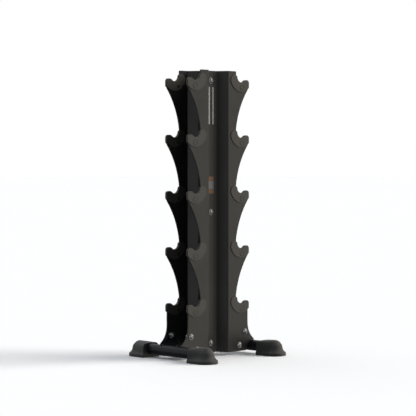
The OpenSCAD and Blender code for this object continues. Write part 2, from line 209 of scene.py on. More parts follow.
def shaped(radii: np.ndarray, heights: np.ndarray) -> np.ndarray:
    """Grid of rows whose radius also depends on the direction: (r(t) cos t, r(t) sin t, h).

    Args:
        radii: Radii, rows x steps.
        heights: Height of each row, or of each point.

    Returns:
        Points, rows x steps x 3; its columns close.
    """
    angle = np.arange(radii.shape[1]) * 2 * math.pi / radii.shape[1]
    height = heights[:, None] + 0 * radii if heights.ndim == 1 else heights
    return np.stack([radii * np.cos(angle), radii * np.sin(angle), height], axis=-1)


def facing(grid: np.ndarray, at: np.ndarray, sign: float) -> np.ndarray:
    """Turns a grid built along +Z to point along +Y (sign 1) or -Y (sign -1), and places it.

    (a, b, c) goes to at + (-sign a, sign c, b), which is a turn and not a mirror image.

    Args:
        grid: Points in their own frame.
        at: Where the grid's origin goes.
        sign: 1 to point to the rear, -1 to point to the front.

    Returns:
        The placed points.
    """
    return np.stack([-sign * grid[..., 0], sign * grid[..., 2], grid[..., 1]], axis=-1) + at


def swept(path: np.ndarray, across: np.ndarray, up: np.ndarray, radii: np.ndarray,
          steps: int = 12) -> np.ndarray:
    """Grid of a round bead along a path: path + r (cos t * across + sin t * up).

    Args:
        path: Points along the middle, n x 3.
        across: Unit vectors beside the path, n x 3.
        up: Unit vectors above the path, n x 3.
        radii: Radius at each point.
        steps: Columns around the bead.

    Returns:
        Points, n x steps x 3; its columns close.
    """
    angle = np.arange(steps) * 2 * math.pi / steps
    ring = np.cos(angle)[None, :, None] * across[:, None] + np.sin(angle)[None, :, None] * up[:, None]
    return path[:, None] + radii[:, None, None] * ring


# ---------- reading the frame ----------


@dataclass(frozen=True)
class Box:
    """Lowest and highest corner of something in the frame."""

    low: np.ndarray
    high: np.ndarray

    @property
    def middle(self) -> np.ndarray:
        """Centre of the box."""
        return (self.low + self.high) / 2

    @property
    def size(self) -> np.ndarray:
        """Lengths of its sides."""
        return self.high - self.low

    def centred_at(self, depth: float) -> np.ndarray:
        """Point on the line through the box's middle from front to back.

        Args:
            depth: Y of the point.

        Returns:
            The point.
        """
        return np.array([self.middle[0], depth, self.middle[2]])


def node_box(node: str) -> Box:
    """Box of one node of the frame.

    Args:
        node: Name of the node.

    Returns:
        Its lowest and highest corner.
    """
    low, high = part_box(node)
    return Box(np.array(low), np.array(high))


def solid_boxes(node: str) -> list[Box]:
    """Boxes of the separate solids in a node, lowest first, then from left to right.

    Args:
        node: Name of the node.

    Returns:
        One box for each solid.
    """
    work = bmesh.new()
    work.from_mesh(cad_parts[node].data)
    bmesh.ops.remove_doubles(work, verts=work.verts, dist=MERGE_SOLID)
    waiting, boxes = set(work.verts), []
    while waiting:
        island, edge = [], [waiting.pop()]
        while edge:
            vertex = edge.pop()
            island.append(tuple(vertex.co))
            near = {e.other_vert(vertex) for e in vertex.link_edges} & waiting
            waiting -= near
            edge.extend(near)
        boxes.append(Box(np.min(island, axis=0), np.max(island, axis=0)))
    work.free()
    return sorted(boxes, key=lambda b: (round(b.low[2], 4), round(b.low[0], 4), round(b.low[1], 4)))


def finish_piece(piece: Piece, slot: Slot, material: bpy.types.Material, *nodes: str) -> Piece:
    """Dresses a new piece, rides it on the rack and hides the nodes it stands for.

    Args:
        piece: The new object.
        slot: The record's slot of its finish; not used.
        material: Its material.
        nodes: CAD nodes that it replaces.

    Returns:
        The same piece.
    """
    piece.data.materials.clear()
    piece.data.materials.append(material)
    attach(piece, BODY)
    if nodes:
        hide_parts(*nodes)
    LOG.info("%s: %d faces", piece.name, len(piece.data.polygons))
    return piece


def dress_node(node: str, material: bpy.types.Material, edge: float = 0.0) -> Piece:
    """Gives a node of the frame its material and, where asked, softly rounded edges.

    Args:
        node: Name of the node.
        material: Its material.
        edge: Width of the rounded edges in metres, or 0 to leave them as they are.

    Returns:
        The node's object.
    """
    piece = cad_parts[node]
    for place in piece.material_slots:
        place.material = material
    weld = piece.modifiers.new("weld", "WELD")
    weld.merge_threshold = MERGE_NODE
    flat = piece.modifiers.new("flat_faces", "DECIMATE")
    flat.decimate_type = "DISSOLVE"
    flat.angle_limit = math.radians(FLAT_ANGLE)
    if edge > 0:
        bevel = piece.modifiers.new("edges", "BEVEL")
        bevel.width = edge
        bevel.segments = 2
        bevel.limit_method = "ANGLE"
        bevel.angle_limit = math.radians(SHARP_ANGLE)
        bevel.use_clamp_overlap = False
        bevel.miter_outer = "MITER_ARC"
        bevel.harden_normals = False
    shade = piece.modifiers.new("shade", "WEIGHTED_NORMAL")
    shade.mode = "FACE_AREA"
    shade.weight = 50
    shade.keep_sharp = False
    LOG.info("%s: dressed", node)
    return piece


# ---------- shared effects ----------


class Effect:
    """A shader node group with named inputs and outputs, used by many materials."""

    def __init__(self, name: str) -> None:
        """Starts an empty group.

        Args:
            name: Name of the group.
        """
        self.tree = bpy.data.node_groups.new(name, "ShaderNodeTree")
        self.inside = self.tree.nodes.new("NodeGroupInput")
        self.outside = self.tree.nodes.new("NodeGroupOutput")

    def takes(self, name: str, kind: str, default: float | tuple | None = None) -> None:
        """Adds an input socket.

        Args:
            name: Name of the socket.
            kind: Its type name.
            default: Its value when nothing is linked.
        """
        socket = self.tree.interface.new_socket(name=name, in_out="INPUT", socket_type=kind)
        if default is not None:
            socket.default_value = default

    def gives(self, name: str, kind: str, source: Link) -> None:
        """Adds an output socket and links it.

        Args:
            name: Name of the socket.
            kind: Its type name.
            source: What it puts out.
        """
        self.tree.interface.new_socket(name=name, in_out="OUTPUT", socket_type=kind)
        self.tree.links.new(source, self.outside.inputs[name])

    def add(self, kind: str, inputs: dict[str | int, object] | None = None,
            **settings: object) -> bpy.types.Node:
        """Adds a node to the group.

        Args:
            kind: The node's type name.
            inputs: Values or sockets for its inputs, by name or number.
            settings: Properties of the node.

        Returns:
            The new node.
        """
        return add_node(self.tree, kind, inputs, **settings)

    def given(self, name: str) -> Link:
        """Value of one of the group's inputs.

        Args:
            name: Name of the input.

        Returns:
            The socket that carries it.
        """
        return self.inside.outputs[name]

    def place(self) -> Link:
        """Place on the piece, in object space."""
        return self.add("ShaderNodeTexCoord").outputs["Object"]

    def math(self, operation: str, *values: float | Link) -> Link:
        """Adds a sum.

        Args:
            operation: Kind of sum.
            values: What it is worked out from.

        Returns:
            Its result.
        """
        return self.add("ShaderNodeMath", dict(enumerate(values)), operation=operation).outputs[0]

    def noise(self, place: Link, scale: Link, detail: float, roughness: float = 0.5) -> Link:
        """Adds a noise.

        Args:
            place: Where it is read.
            scale: Patches in a metre.
            detail: Number of finer layers.
            roughness: Share of each finer layer.

        Returns:
            Its value, about 0 to 1.
        """
        made = self.add("ShaderNodeTexNoise", {"Vector": place, "Scale": scale, "Detail": detail,
                                               "Roughness": roughness})
        return made.outputs["Fac"]

    def ramp(self, value: Link, low: float, high: float) -> Link:
        """Adds a straight ramp.

        Args:
            value: What is ramped.
            low: Value that gives 0.
            high: Value that gives 1.

        Returns:
            The ramp's result.
        """
        return self.add("ShaderNodeMapRange", {"Value": value, "From Min": low,
                                               "From Max": high}).outputs[0]


def add_node(tree: bpy.types.NodeTree, kind: str, inputs: dict[str | int, object] | None = None,
             **settings: object) -> bpy.types.Node:
    """Adds a node to a tree.

    Args:
        tree: The tree.
        kind: The node's type name.
        inputs: Values or sockets for its inputs, by name or number.
        settings: Properties of the node.

    Returns:
        The new node.
    """
    node = tree.nodes.new(kind)
    for name, value in settings.items():
        setattr(node, name, value)
    for name, value in (inputs or {}).items():
        if isinstance(value, bpy.types.NodeSocket):
            tree.links.new(value, node.inputs[name])
        else:
            node.inputs[name].default_value = value
    return node


def grain_effect() -> bpy.types.ShaderNodeTree:
    """Fine surface grain: noise of two sizes in object space, as a height from 0 to 1."""
    effect = Effect("surface_grain")
    effect.takes("Size", "NodeSocketFloat", 0.8 * MM)
    effect.takes("Fine Share", "NodeSocketFloat", 0.35)
    place = effect.place()
    scale = effect.math("DIVIDE", 1.0, effect.given("Size"))
    coarse = effect.noise(place, scale, 2.0)
    fine = effect.noise(place, effect.math("MULTIPLY", scale, 3.1), 1.0)
    both = effect.add("ShaderNodeMix", {0: effect.given("Fine Share"), 2: coarse, 3: fine},
                      data_type="FLOAT")
    effect.gives("Height", "NodeSocketFloat", both.outputs[0])
    return effect.tree


def mottle_effect() -> bpy.types.ShaderNodeTree:
    """Slow drift of a colour: the tone moves up and down by Amount over patches of Size."""
    effect = Effect("tone_drift")
    effect.takes("Color", "NodeSocketColor", (0.5, 0.5, 0.5, 1.0))
    effect.takes("Amount", "NodeSocketFloat", 0.1)
    effect.takes("Size", "NodeSocketFloat", 120 * MM)
    scale = effect.math("DIVIDE", 1.0, effect.given("Size"))
    patches = effect.noise(effect.place(), scale, 3.0, 0.55)
    doubled = effect.math("MULTIPLY", effect.math("SUBTRACT", patches, 0.5), 2.0)
    factor = effect.math("MULTIPLY_ADD", doubled, effect.given("Amount"), 1.0)
    tone = effect.add("ShaderNodeVectorMath", {0: effect.given("Color"), "Scale": factor},
                      operation="SCALE")
    effect.gives("Color", "NodeSocketColor", tone.outputs[0])
    effect.gives("Mask", "NodeSocketFloat", patches)
    return effect.tree


def dust_effect() -> bpy.types.ShaderNodeTree:
    """Dust on upward faces: mask = Amount * clamp(normal z) squared * patchy noise."""
    effect = Effect("settled_dust")
    effect.takes("Amount", "NodeSocketFloat", 0.3)
    effect.takes("Size", "NodeSocketFloat", 14 * MM)
    normal = effect.add("ShaderNodeNewGeometry").outputs["Normal"]
    split = effect.add("ShaderNodeSeparateXYZ", {0: normal})
    squared = effect.math("POWER", effect.math("MAXIMUM", split.outputs["Z"], 0.0), 2.0)
    scale = effect.math("DIVIDE", 1.0, effect.given("Size"))
    patches = effect.ramp(effect.noise(effect.place(), scale, 6.0, 0.7), 0.35, 0.75)
    mask = effect.math("MULTIPLY", squared, patches)
    effect.gives("Mask", "NodeSocketFloat", effect.math("MULTIPLY", mask, effect.given("Amount")))
    return effect.tree


def scuff_effect() -> bpy.types.ShaderNodeTree:
    """Fine rubbed marks: thin bright ridges of stretched noise, kept where a slow noise is high."""
    effect = Effect("rubbed_marks")
    effect.takes("Amount", "NodeSocketFloat", 0.3)
    effect.takes("Size", "NodeSocketFloat", 6 * MM)
    place = effect.place()
    lean = effect.add("ShaderNodeMapping", {"Vector": place, "Rotation": (0.35, 0.2, 0.5),
                                            "Scale": (1.0, 1.0, 6.0)})
    scale = effect.math("DIVIDE", 1.0, effect.given("Size"))
    ridge = effect.ramp(effect.noise(lean.outputs[0], scale, 4.0, 0.6), 0.62, 0.70)
    zones = effect.noise(place, effect.math("MULTIPLY", scale, 0.12), 2.0)
    mask = effect.math("MULTIPLY", ridge, effect.ramp(zones, 0.5, 0.62))
    effect.gives("Mask", "NodeSocketFloat", effect.math("MULTIPLY", mask, effect.given("Amount")))
    return effect.tree


@dataclass(frozen=True)
class Effects:
    """The shared node groups."""

    grain: bpy.types.ShaderNodeTree
    mottle: bpy.types.ShaderNodeTree
    dust: bpy.types.ShaderNodeTree
    scuff: bpy.types.ShaderNodeTree

    @classmethod
    def build(cls) -> "Effects":
        """Builds every group once."""
        return cls(grain_effect(), mottle_effect(), dust_effect(), scuff_effect())


# ---------- finishes ----------


@dataclass(frozen=True)
class Finish:
    """A paint, plastic, rubber or metal with drift, grain, rubbed marks and dust."""

    name: str
    colour: Colour
    roughness: float
    metallic: float = 0.0
    specular: float = 0.5
    drift: float = 0.08
    drift_size: float = 120 * MM
    grain_size: float = 0.9 * MM
    grain_height: float = 0.04 * MM
    roughness_drift: float = 0.08
    scuffs: float = 0.25
    scuff_size: float = 6 * MM
    scuff_colour: Colour = (0.2, 0.19, 0.18)
    dust: float = 0.2
    dust_colour: Colour = (0.26, 0.25, 0.235)
    coat: float = 0.0
    coat_roughness: float = 0.25
    sheen: float = 0.0
    dust_roughness: float = 0.9

    def tree(self) -> tuple[bpy.types.Material, bpy.types.NodeTree, bpy.types.Node]:
        """Starts the material and sets what is the same all over the surface."""
        material = bpy.data.materials.new(self.name)
        material.use_nodes = True
        shader = material.node_tree.nodes["Principled BSDF"]
        shader.inputs["Metallic"].default_value = self.metallic
        shader.inputs["Specular IOR Level"].default_value = self.specular
        shader.inputs["Coat Weight"].default_value = self.coat
        shader.inputs["Coat Roughness"].default_value = self.coat_roughness
        shader.inputs["Sheen Weight"].default_value = self.sheen
        return material, material.node_tree, shader

    def base(self, tree: bpy.types.NodeTree) -> Link:
        """Colour before drift, marks and dust; finishes with a pattern override it.

        Args:
            tree: The material's tree.

        Returns:
            The socket that puts out the colour.
        """
        colour = add_node(tree, "ShaderNodeRGB")
        colour.outputs[0].default_value = (*self.colour, 1.0)
        return colour.outputs[0]

    def build(self, effects: Effects) -> bpy.types.Material:
        """Builds the material.

        Args:
            effects: The shared node groups.

        Returns:
            The finished material.
        """
        material, tree, shader = self.tree()
        tone = add_node(tree, "ShaderNodeGroup", node_tree=effects.mottle)
        tree.links.new(self.base(tree), tone.inputs["Color"])
        tone.inputs["Amount"].default_value = self.drift
        tone.inputs["Size"].default_value = self.drift_size
        marks = add_node(tree, "ShaderNodeGroup", node_tree=effects.scuff)
        marks.inputs["Amount"].default_value = self.scuffs
        marks.inputs["Size"].default_value = self.scuff_size
        dust = add_node(tree, "ShaderNodeGroup", node_tree=effects.dust)
        dust.inputs["Amount"].default_value = self.dust
        rubbed = add_node(tree, "ShaderNodeMix", {0: marks.outputs["Mask"], 6: tone.outputs["Color"],
                                                  7: (*self.scuff_colour, 1.0)}, data_type="RGBA")
        dusty = add_node(tree, "ShaderNodeMix", {0: dust.outputs["Mask"], 6: rubbed.outputs[2],
                                                 7: (*self.dust_colour, 1.0)}, data_type="RGBA")
        tree.links.new(dusty.outputs[2], shader.inputs["Base Color"])
        low, high = self.roughness - self.roughness_drift, self.roughness + self.roughness_drift
        rough = add_node(tree, "ShaderNodeMapRange", {"Value": tone.outputs["Mask"], "From Min": 0.3,
                                                      "From Max": 0.7, "To Min": low, "To Max": high})
        rough_dust = add_node(tree, "ShaderNodeMix", {0: dust.outputs["Mask"], 2: rough.outputs[0],
                                                      3: self.dust_roughness}, data_type="FLOAT")
        tree.links.new(rough_dust.outputs[0], shader.inputs["Roughness"])
        grain = add_node(tree, "ShaderNodeGroup", node_tree=effects.grain)
        grain.inputs["Size"].default_value = self.grain_size
        bump = add_node(tree, "ShaderNodeBump", {"Height": grain.outputs["Height"], "Strength": 1.0,
                                                 "Distance": self.grain_height})
        tree.links.new(bump.outputs[0], shader.inputs["Normal"])
        return material


@dataclass(frozen=True)
class LabelFilm(Finish):
    """Printed film with a coloured band at each end of a pale field."""

    band_colour: Colour = (0.19, 0.107, 0.052)
    line_colour: Colour = (0.06, 0.06, 0.06)
    middle: float = 0.0
    field_half: float = 15 * MM
    line_half: float = 16.4 * MM

    def base(self, tree: bpy.types.NodeTree) -> Link:
        """Bands by the distance along Z from the label's middle: pale field, thin line, band.

        Args:
            tree: The material's tree.

        Returns:
            The socket that puts out the colour.
        """
        place = add_node(tree, "ShaderNodeTexCoord")
        split = add_node(tree, "ShaderNodeSeparateXYZ", {0: place.outputs["Object"]})
        along = add_node(tree, "ShaderNodeMath", {0: split.outputs["Z"], 1: self.middle},
                         operation="SUBTRACT")
        away = add_node(tree, "ShaderNodeMath", {0: along.outputs[0]}, operation="ABSOLUTE")
        past_field = add_node(tree, "ShaderNodeMath", {0: away.outputs[0], 1: self.field_half},
                              operation="GREATER_THAN")
        past_line = add_node(tree, "ShaderNodeMath", {0: away.outputs[0], 1: self.line_half},
                             operation="GREATER_THAN")
        with_line = add_node(tree, "ShaderNodeMix", {0: past_field.outputs[0], 6: (*self.colour, 1.0),
                                                     7: (*self.line_colour, 1.0)}, data_type="RGBA")
        with_band = add_node(tree, "ShaderNodeMix", {0: past_line.outputs[0], 6: with_line.outputs[2],
                                                     7: (*self.band_colour, 1.0)}, data_type="RGBA")
        return with_band.outputs[2]


@dataclass(frozen=True)
class Finishes:
    """Every material of the rack."""

    upright: bpy.types.Material
    base: bpy.types.Material
    weld: bpy.types.Material
    rubber: bpy.types.Material
    saddle: bpy.types.Material
    zinc: bpy.types.Material
    nylon: bpy.types.Material
    screw: bpy.types.Material
    stripe: bpy.types.Material
    label: bpy.types.Material

    @classmethod
    def build(cls) -> "Finishes":
        """Builds the materials from their finishes."""
        effects = Effects.build()
        powder_coat = Finish("charcoal_powder_coat", (0.0125, 0.012, 0.011), 0.42, specular=0.95,
                             drift=0.10, drift_size=160 * MM, grain_size=1.3 * MM,
                             grain_height=0.05 * MM, scuffs=0.08, scuff_size=5 * MM, dust=0.08)
        base_paint = Finish("midnight_powder_coat", (0.011, 0.013, 0.019), 0.34, drift=0.08,
                            drift_size=90 * MM, grain_size=1.1 * MM, grain_height=0.035 * MM,
                            scuffs=0.16, dust=0.03)
        weld = Finish("painted_weld", (0.011, 0.013, 0.019), 0.38, drift=0.12, drift_size=8 * MM,
                      grain_size=0.6 * MM, grain_height=0.04 * MM, scuffs=0.1, dust=0.03)
        rubber = Finish("moulded_rubber", (0.058, 0.0565, 0.055), 0.50, drift=0.12,
                        drift_size=60 * MM, grain_size=0.7 * MM, grain_height=0.07 * MM,
                        scuffs=0.3, scuff_size=4 * MM, scuff_colour=(0.09, 0.09, 0.09), dust=0.12,
                        sheen=0.08)
        saddle = Finish("moulded_saddle_plastic", (0.068, 0.065, 0.059), 0.48, drift=0.07,
                        drift_size=40 * MM, grain_size=0.55 * MM, grain_height=0.045 * MM,
                        scuffs=0.22, scuff_size=3 * MM, scuff_colour=(0.13, 0.125, 0.115), dust=0.2)
        zinc = Finish("bright_zinc", (0.72, 0.72, 0.74), 0.24, metallic=1.0, drift=0.06,
                      drift_size=5 * MM, grain_size=0.25 * MM, grain_height=0.008 * MM,
                      roughness_drift=0.06, scuffs=0.35, scuff_size=0.9 * MM,
                      scuff_colour=(0.45, 0.44, 0.42), dust=0.05)
        nylon = Finish("nylon_insert", (0.09, 0.16, 0.36), 0.4, drift=0.05, drift_size=3 * MM,
                       grain_size=0.4 * MM, grain_height=0.01 * MM, scuffs=0.0, dust=0.1)
        screw = Finish("black_oxide", (0.018, 0.018, 0.019), 0.42, metallic=0.6, drift=0.1,
                       drift_size=4 * MM, grain_size=0.3 * MM, grain_height=0.01 * MM,
                       scuffs=0.3, scuff_size=0.8 * MM, dust=0.1)
        stripe = Finish("grey_film", (0.52, 0.52, 0.525), 0.34, metallic=0.15, drift=0.05,
                        drift_size=12 * MM, grain_size=0.35 * MM, grain_height=0.006 * MM,
                        scuffs=0.2, scuff_size=2 * MM, dust=0.05)
        label_box = node_box("plain_label")
        label = LabelFilm("banded_label_film", (0.19, 0.19, 0.19), 0.36, drift=0.04,
                          drift_size=10 * MM, grain_size=0.4 * MM, grain_height=0.006 * MM,
                          scuffs=0.25, scuff_size=2 * MM, scuff_colour=(0.25, 0.24, 0.22), dust=0.05,
                          middle=float(label_box.middle[2]))
        made = (powder_coat, base_paint, weld, rubber, saddle, zinc, nylon, screw, stripe, label)
        return cls(*(finish.build(effects) for finish in made))


# ---------- sub-assemblies ----------


@dataclass
class Uprights:
    """The two bent steel uprights and the sleeves between them."""

    finishes: Finishes
    edge: float = 0.7 * MM
    sleeve_chamfer: float = 1.0 * MM
    sleeve_bore: float = 11 * MM

    def build(self) -> None:
        """Dresses the sheets and makes the sleeves."""
        for end in ENDS:
            dress_node(f"{end}_upright", self.finishes.upright, self.edge)
        for level in ("bottom", "middle", "top"):
            self.sleeve(f"spacer_{level}")

    def sleeve(self, node: str) -> None:
        """Turns a sleeve: outer wall, chamfers and bore, closed on itself.

        Args:
            node: The sleeve's node.
        """
        box = node_box(node)
        outer, inner, length = box.size[0] / 2, self.sleeve_bore / 2, box.size[1]
        c = self.sleeve_chamfer
        profile = np.array([(inner, c / 2), (inner + c / 2, 0), (outer - c, 0), (outer, c),
                            (outer, length - c), (outer - c, length), (inner + c / 2, length),
                            (inner, length - c / 2)])
        surface = Surface()
        at = box.centred_at(box.low[1])
        surface.add(facing(turned(profile), at, 1.0), closed_rows=True, closed_columns=True)
        finish_piece(surface.piece(f"sleeve_{node}"), Slot.UPRIGHT_PAINT, self.finishes.upright, node)


@dataclass
class Saddles:
    """The moulded saddles over the hooks, with their countersunk screws."""

    finishes: Finishes
    edge: float = 1.0 * MM
    socket_half: float = 1.3 * MM
    socket_depth: float = 1.4 * MM
    head_depth: float = 1.9 * MM
    shank_r: float = 2.5 * MM
    steps: int = 48

    def build(self) -> None:
        """Dresses the saddles and makes the screws."""
        for node in sorted(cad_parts):
            if node.startswith("saddle_") and not node.startswith("saddle_screws"):
                dress_node(node, self.finishes.saddle, self.edge)
        for end in ENDS:
            for side in SIDES:
                self.screws(end, side)

    def screws(self, end: str, side: str) -> None:
        """Makes one wing's screws; their heads face the middle of the rack.

        Args:
            end: Front or rear.
            side: Left or right.
        """
        node = f"saddle_screws_{end}_{side}"
        surface = Surface()
        sign = 1.0 if end == "front" else -1.0
        for box in solid_boxes(node):
            face = box.high[1] if end == "front" else box.low[1]
            at = box.centred_at(face)
            surface.add(facing(self.screw(box.size[0] / 2, box.size[1]), at, sign), closed_columns=True)
        finish_piece(surface.piece(f"countersunk_screws_{end}_{side}"), Slot.BLACK_SCREW,
                     self.finishes.screw, node)

    def screw(self, head_r: float, length: float) -> np.ndarray:
        """Grid of a screw from its socket's floor over the flat head and cone to its end.

        Args:
            head_r: Radius of the head.
            length: Length over all.

        Returns:
            Points, rows x steps x 3; the head lies on 0 and faces +Z.
        """
        hexagonal, round_ = hexagon(self.socket_half, self.steps), np.ones(self.steps)
        rows = [(0 * round_, -self.socket_depth), (hexagonal, -self.socket_depth), (hexagonal, -0.1 * MM),
                (hexagonal + 0.12 * MM, 0.0), ((head_r - 0.25 * MM) * round_, 0.0),
                (head_r * round_, -0.15 * MM), (head_r * round_, -0.3 * MM),
                (self.shank_r * round_, -self.head_depth), (self.shank_r * round_, -length + 0.5 * MM),
                ((self.shank_r - 0.5 * MM) * round_, -length), (0 * round_, -length)]
        return shaped(np.stack([r for r, _ in rows]), np.array([h for _, h in rows]))


@dataclass
class Feet:
    """Rubber boots over the ends of the base tubes."""

    finishes: Finishes
    rim_height: float = 11.5 * MM
    side_r: float = 40 * MM
    side_in: float = 1 * MM
    square_half: float = 40 * MM
    square_r: float = 16 * MM
    back_drop: float = 5 * MM
    blend: float = 6 * MM
    fade: float = 24 * MM
    bore_fit: float = 0.15 * MM
    bore_depth: float = 66 * MM
    bore_chamfer: float = 1.0 * MM
    edge: float = 2.2 * MM
    rim_edge: float = 2.4 * MM
    edge_steps: int = 5
    hollow_points: int = 17
    rim_points: int = 3
    body_points: int = 60
    outline_points: int = 1500
    stations: int = 26
    dome_rays: int = 34
    end_steps: int = 44

    def build(self) -> None:
        """Makes the four boots."""
        for end in ENDS:
            for side in SIDES:
                self.boot(end, side)

    def skirt(self, half: float, axis: float, top: float) -> np.ndarray:
        """Half of the flared skirt's section, from under the tube out to the rim and up.

        The hollow side is an arc of side_r through the rim's top that cuts side_in into the dome,
        a circle round the tube's axis: its centre is where circles round both, of radii side_r and
        dome + side_r - side_in, meet.

        Args:
            half: Half width at the floor.
            axis: Height of the tube's axis.
            top: Height of the dome.

        Returns:
            (distance from the upright plane, height) points, n x 2.
        """
        dome_r = top - axis
        dome, rim = np.array([0.0, axis]), np.array([half, self.rim_height])
        gap = np.linalg.norm(rim - dome)
        reach = dome_r + self.side_r - self.side_in
        along = (reach ** 2 - self.side_r ** 2 + gap ** 2) / (2 * gap)
        unit = (rim - dome) / gap
        centre = dome + along * unit + math.sqrt(reach ** 2 - along ** 2) * np.array([-unit[1], unit[0]])
        touch = dome + dome_r * (centre - dome) / reach
        start = math.atan2(*(rim - centre)[::-1])
        end = math.atan2(*(touch - centre)[::-1])
        turn = np.linspace(start, end, self.hollow_points)
        hollow = centre + self.side_r * np.stack([np.cos(turn), np.sin(turn)], axis=1)
        foot = rounded([(0, 0, 0), (half, 0, self.edge), (half, self.rim_height, self.rim_edge),
                        (*hollow[self.rim_points], 0)], 4)
        return np.concatenate([foot, hollow[self.rim_points + 1:]])

    def body(self, share: float, axis: float, top: float) -> np.ndarray:
        """Half of the body's section: squared at the inner face, round at the outer end.

        Half width, corner radius and corner height all run evenly from one end to the other.

        Args:
            share: 0 at the inner face, 1 at the outer dome.
            axis: Height of the tube's axis.
            top: Height of the dome.

        Returns:
            (distance from the upright plane, height) points, n x 2, from the floor to the back.
        """
        dome_r = top - axis
        half = self.square_half * (1 - share) + dome_r * share
        corner_r = self.square_r * (1 - share) + dome_r * share
        corner_z = (top - self.back_drop - self.square_r) * (1 - share) + axis * share
        turn = np.linspace(0, math.pi / 2, self.body_points)
        arc = np.stack([half - corner_r + corner_r * np.cos(turn), corner_z + corner_r * np.sin(turn)],
                       axis=1)
        return np.concatenate([[[half, 0.0]], arc, [[0.0, corner_z + corner_r]]])

    def reach(self, outline: np.ndarray, axis: float, angles: np.ndarray) -> np.ndarray:
        """Distance from the tube's axis to an outline in each direction.

        Past the outline's last direction the distance falls by fade * (angle past it) ** 2.

        Args:
            outline: (distance, height) points, n x 2.
            axis: Height of the tube's axis.
            angles: Directions, from straight down (-90 degrees) to straight up.

        Returns:
            One distance for each direction.
        """
        length = np.concatenate([[0.0], np.cumsum(np.linalg.norm(np.diff(outline, axis=0), axis=1))])
        even = np.union1d(np.linspace(0, length[-1], self.outline_points), length)
        x, z = (np.interp(even, length, outline[:, k]) for k in (0, 1))
        turn = np.arctan2(z - axis, x)
        order = np.argsort(turn)
        past = np.maximum(angles - turn.max(), 0)
        return np.interp(angles, turn[order], np.hypot(x, z - axis)[order]) - self.fade * past ** 2

    def section(self, share: float, skirt: np.ndarray, axis: float, top: float) -> np.ndarray:
        """Half of the boot's section: the larger of skirt and body, blended where they meet.

        With a and b the distances from the axis, the result is
        max(a, b) + blend / 4 * max(0, 1 - |a - b| / blend) ** 2, and never below the floor.

        Args:
            share: 0 at the inner face, 1 at the outer dome.
            skirt: Half of the skirt's section.
            axis: Height of the tube's axis.
            top: Height of the dome.

        Returns:
            (distance from the upright plane, height) points, n x 2.
        """
        low = np.arctan2(skirt[:, 1] - axis, skirt[:, 0])
        angles = np.concatenate([low[:-1], np.linspace(low[-1], math.pi / 2, self.dome_rays)])
        a = self.reach(skirt, axis, angles)
        b = self.reach(self.body(share, axis, top), axis, angles)
        far = np.maximum(a, b) + self.blend / 4 * np.maximum(0, 1 - np.abs(a - b) / self.blend) ** 2
        return np.stack([far * np.cos(angles), np.maximum(axis + far * np.sin(angles), 0)], axis=1)

    def boot(self, end: str, side: str) -> None:
        """Makes one boot: a tapering stretch, a half-turned end and an inner face with its bore.

        Args:
            end: Front or rear.
            side: Left or right.
        """
        node = f"foot_{end}_{side}"
        box, tube = node_box(node), node_box(f"base_tube_{side}")
        sign = -1.0 if end == "front" else 1.0
        half, middle_x, axis, top = box.size[0] / 2, box.middle[0], tube.middle[2], box.high[2]
        inner = box.low[1] if sign > 0 else -box.high[1]
        outer = (box.high[1] if sign > 0 else -box.low[1]) - half
        quarter = np.linspace(0, math.pi / 2, self.edge_steps)
        lead = self.edge * (1 - np.cos(quarter))
        shrink = np.concatenate([self.edge * (1 - np.sin(quarter)), np.zeros(self.stations)])
        places = np.concatenate([inner + lead, np.linspace(inner + 1.5 * self.edge, outer, self.stations)])
        skirt = self.skirt(half, axis, top)
        hub = np.array([0.0, axis])
        rows = []
        for place, inset in zip(places, shrink):
            profile = self.section((place - inner) / (outer - inner), skirt, axis, top)
            outline = np.concatenate([profile, (profile * [-1, 1])[::-1][1:-1]])
            towards = (outline - hub) / np.linalg.norm(outline - hub, axis=1)[:, None]
            moved = outline - inset * towards
            moved[:, 1] = np.where(outline[:, 1] < 1e-6, np.minimum(moved[:, 1], inset), moved[:, 1])
            rows.append(moved)
        surface = Surface()
        stack = np.stack(rows)
        surface.add(np.stack([stack[..., 0], places[:, None] + 0 * stack[..., 0], stack[..., 1]], axis=-1),
                    closed_columns=True)
        bend = np.linspace(0, math.pi, self.end_steps + 1)
        surface.add(np.stack([np.cos(bend)[:, None] * profile[:, 0],
                              outer + np.sin(bend)[:, None] * profile[:, 0],
                              0 * bend[:, None] + profile[:, 1]], axis=-1))
        surface.add(self.inner_face(stack[0], hub, tube.size[0] / 2 + self.bore_fit, inner),
                    closed_columns=True)
        for k, grid in enumerate(surface.points):
            surface.points[k] = grid * [1, sign, 1] + [middle_x, 0, 0]
        finish_piece(surface.piece(f"rubber_boot_{end}_{side}", 40), Slot.RUBBER, self.finishes.rubber,
                     node)

    def inner_face(self, outline: np.ndarray, hub: np.ndarray, bore_r: float, inner: float) -> np.ndarray:
        """Grid from the inner face's outline in to the bore, along it and over its floor.

        Args:
            outline: Outline of the inner face, n x 2.
            hub: The tube's axis in that plane.
            bore_r: Radius of the bore.
            inner: Distance of the inner face from the middle of the rack.

        Returns:
            Points, rows x n x 3; its columns close.
        """
        chamfer = self.bore_chamfer
        towards = (outline - hub) / np.linalg.norm(outline - hub, axis=1)[:, None]
        lip, wall = hub + towards * (bore_r + chamfer), hub + towards * bore_r
        rows = [(outline * (1 - s) + lip * s, inner) for s in np.linspace(0, 1, 5)]
        rows += [(wall, inner + chamfer + d * self.bore_depth) for d in (0.0, 0.6, 1.0)]
        rows += [(hub + 0 * wall, inner + chamfer + self.bore_depth)]
        return np.stack([np.stack([r[:, 0], np.full(len(r), y), r[:, 1]], axis=-1) for r, y in rows])


